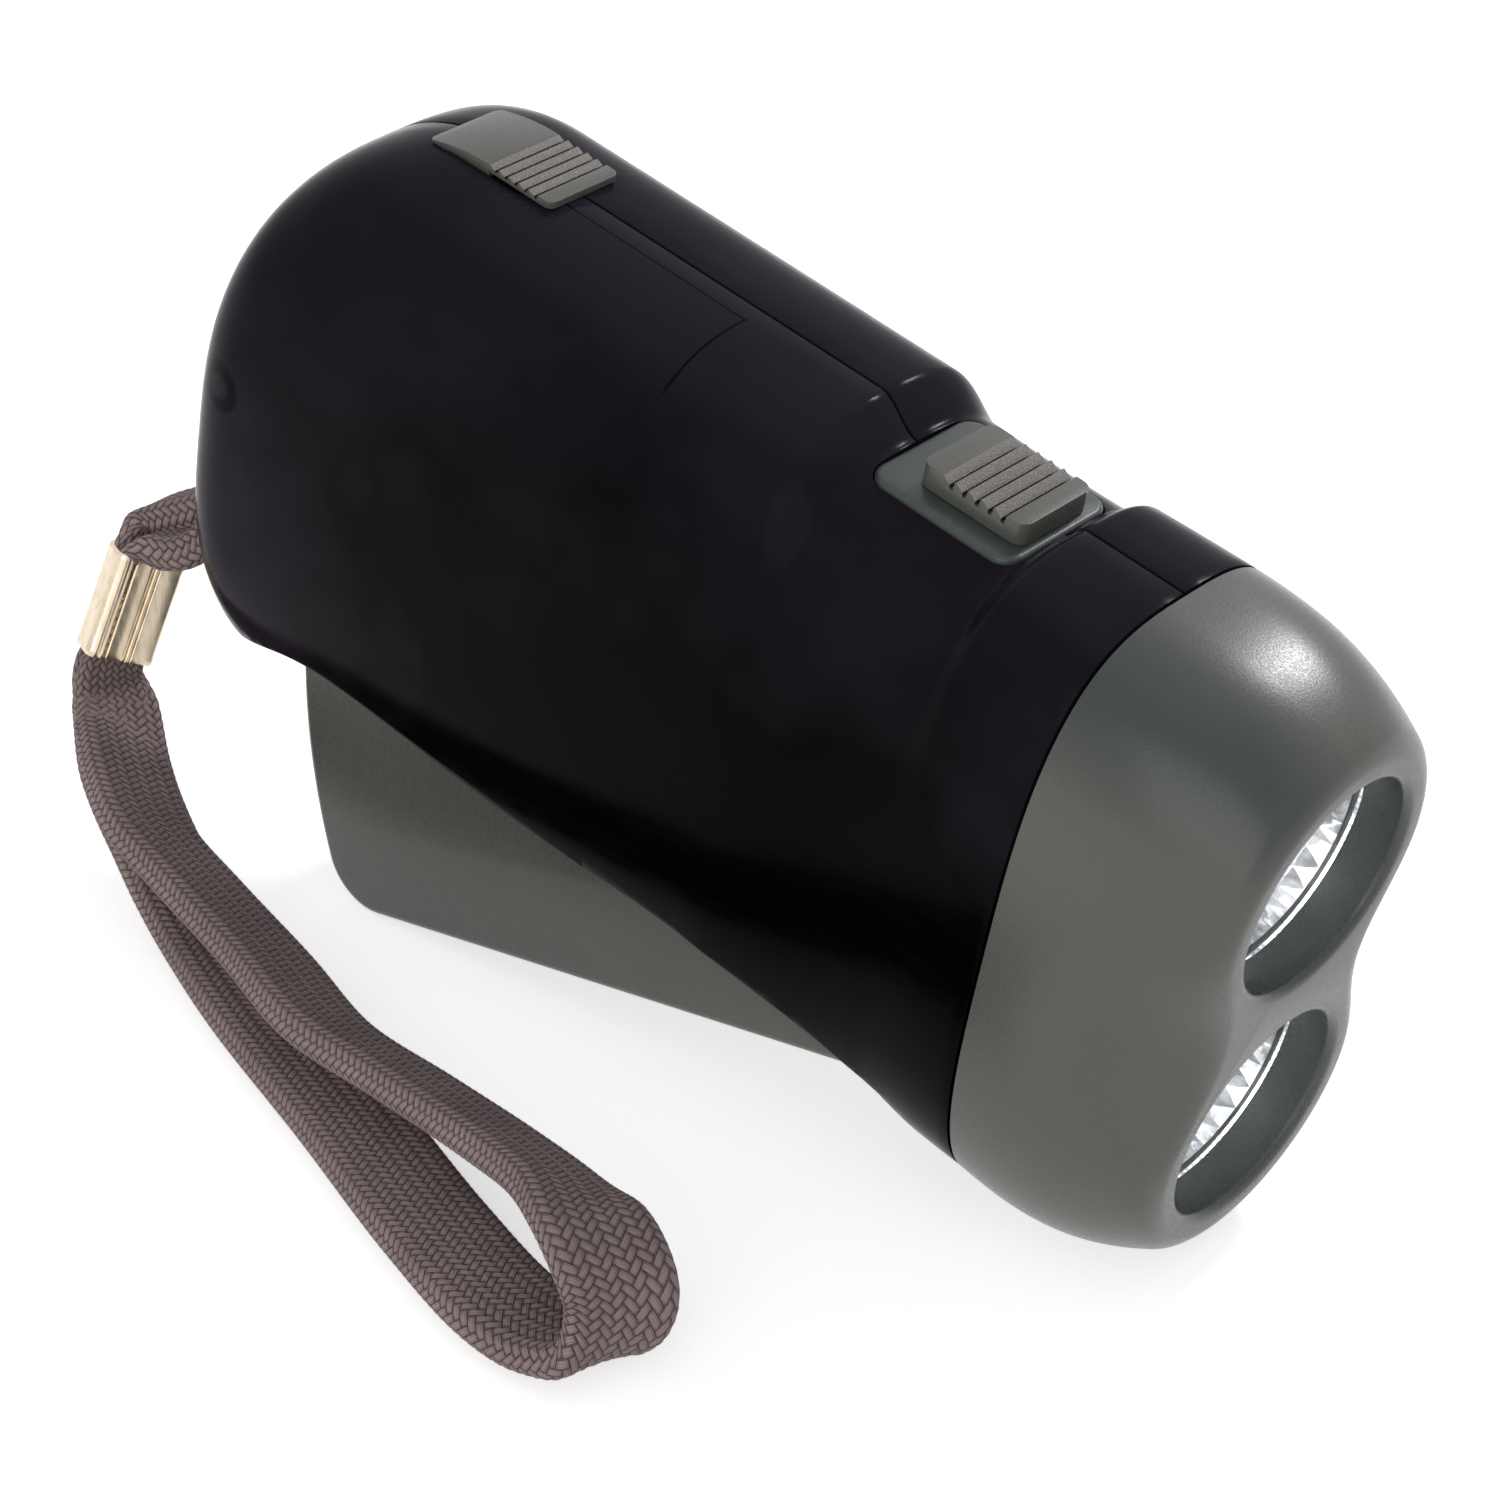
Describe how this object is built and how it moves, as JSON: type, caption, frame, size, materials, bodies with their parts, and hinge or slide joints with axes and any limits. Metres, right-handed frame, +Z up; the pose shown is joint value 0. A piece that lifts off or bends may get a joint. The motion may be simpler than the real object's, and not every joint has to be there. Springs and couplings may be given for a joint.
{
  "type": "hand crank flashlight",
  "caption": "Squeeze-lever dynamo flashlight: smoke plastic case, grey twin-light head, swinging lever with geared dynamo, slide switch, lever lock and wrist strap.",
  "frame": {"origin": "centre of the footprint of the flashlight without its strap, on the surface it stands on", "axes": "+X the way the lights point, nose down by about 13 degrees, +Y to the flashlight's left, +Z up from the surface; it stands on the lever's rear corner and the head's underside"},
  "size_m": [0.1247, 0.062, 0.0727],
  "materials": {
    "smoke_case": "glossy smoke tint, dark and slightly see-through",
    "grey_shell": "satin fine grain",
    "slate_trim": "satin",
    "nylon": "natural moulded",
    "steel": "bright plated",
    "bright_reflector": "mirror-like metallised",
    "clear_lens": "clear moulded plastic",
    "copper_wire": "enamelled copper wire",
    "board_green": "printed circuit board",
    "dark_ferrite": "matt dark",
    "braid": "flat woven braid",
    "nickel": "polished nickel"
  },
  "bodies": {
    "case": {"case_right": "smoke_case", "case_left": "smoke_case", "case_screw_1": "steel", "case_screw_2": "steel", "case_screw_3": "steel", "head_bezel": "grey_shell", "lens_upper": "clear_lens", "reflector_upper": "bright_reflector", "led_upper": "clear_lens", "lens_lower": "clear_lens", "reflector_lower": "bright_reflector", "led_lower": "clear_lens", "board_screw_right": "steel", "board_screw_left": "steel", "led_board": "board_green", "pivot_pin": "steel", "lever_spring": "steel", "gear_plate_right": "steel", "gear_plate_left": "steel", "plate_spacer_1": "steel", "plate_spacer_2": "steel", "plate_spacer_3": "steel", "drive_axle": "steel", "idler_axle": "steel", "rotor_axle": "steel", "stator_pole_lower": "steel", "stator_pole_upper": "steel", "stator_yoke": "steel", "coil_bobbin": "nylon", "coil_winding": "copper_wire", "cell_1": "steel", "cell_2": "steel", "cell_3": "steel", "cell_contact_right": "steel", "cell_contact_left": "steel", "cell_tray": "nylon", "circuit_board": "board_green", "diode_1": "dark_ferrite", "diode_2": "dark_ferrite", "diode_3": "dark_ferrite", "diode_4": "dark_ferrite", "switch_plate": "slate_trim", "strap_loop": "braid", "strap_neck": "braid", "strap_crimp": "nickel"},
    "lever": {"squeeze_lever": "grey_shell", "toothed_sector": "nylon"},
    "pinion": {"sector_pinion": "nylon", "ratchet_wheel": "steel"},
    "drive": {"drive_gear": "nylon"},
    "idler": {"idler_gear": "nylon"},
    "rotor": {"rotor_hub": "nylon", "ring_magnet": "dark_ferrite"},
    "knob": {"switch_knob": "grey_shell", "switch_contact": "steel"},
    "lock": {"lock_slider": "slate_trim"}
  },
  "joints": [
    {"name": "lever_swing", "type": "hinge", "parent": "case", "child": "lever", "pos_m": [0.01415, 0, 0.01667], "axis": [0, 1, 0], "range_deg": [0, 20], "stiffness_Nm_per_rad": 0.4, "springref_deg": -34.38, "deforming": ["lever_spring"]},
    {"name": "pinion_spin", "type": "hinge", "parent": "case", "child": "pinion", "pos_m": [-0.0275, 0, 0.03619], "axis": [0, 1, 0], "range_deg": [0, 250]},
    {"name": "drive_spin", "type": "hinge", "parent": "case", "child": "drive", "pos_m": [-0.0275, 0, 0.03619], "axis": [0, 1, 0], "continuous": true},
    {"name": "idler_spin", "type": "hinge", "parent": "case", "child": "idler", "pos_m": [-0.01525, 0, 0.04111], "axis": [0, 1, 0], "continuous": true},
    {"name": "rotor_spin", "type": "hinge", "parent": "case", "child": "rotor", "pos_m": [-0.00397, 0, 0.0389], "axis": [0, 1, 0], "continuous": true},
    {"name": "switch_slide", "type": "slide", "parent": "case", "child": "knob", "axis": [-0.974, 0, 0.2267], "range_m": [0, 0.003]},
    {"name": "lock_slide", "type": "slide", "parent": "case", "child": "lock", "axis": [0.974, 0, -0.2267], "range_m": [0, 0.003]}
  ],
  "couplings": [
    {"joint": "pinion_spin", "follows": "lever_swing", "ratio": 12.5},
    {"joint": "idler_spin", "follows": "drive_spin", "ratio": -3.4},
    {"joint": "rotor_spin", "follows": "drive_spin", "ratio": 12.24}
  ]
}
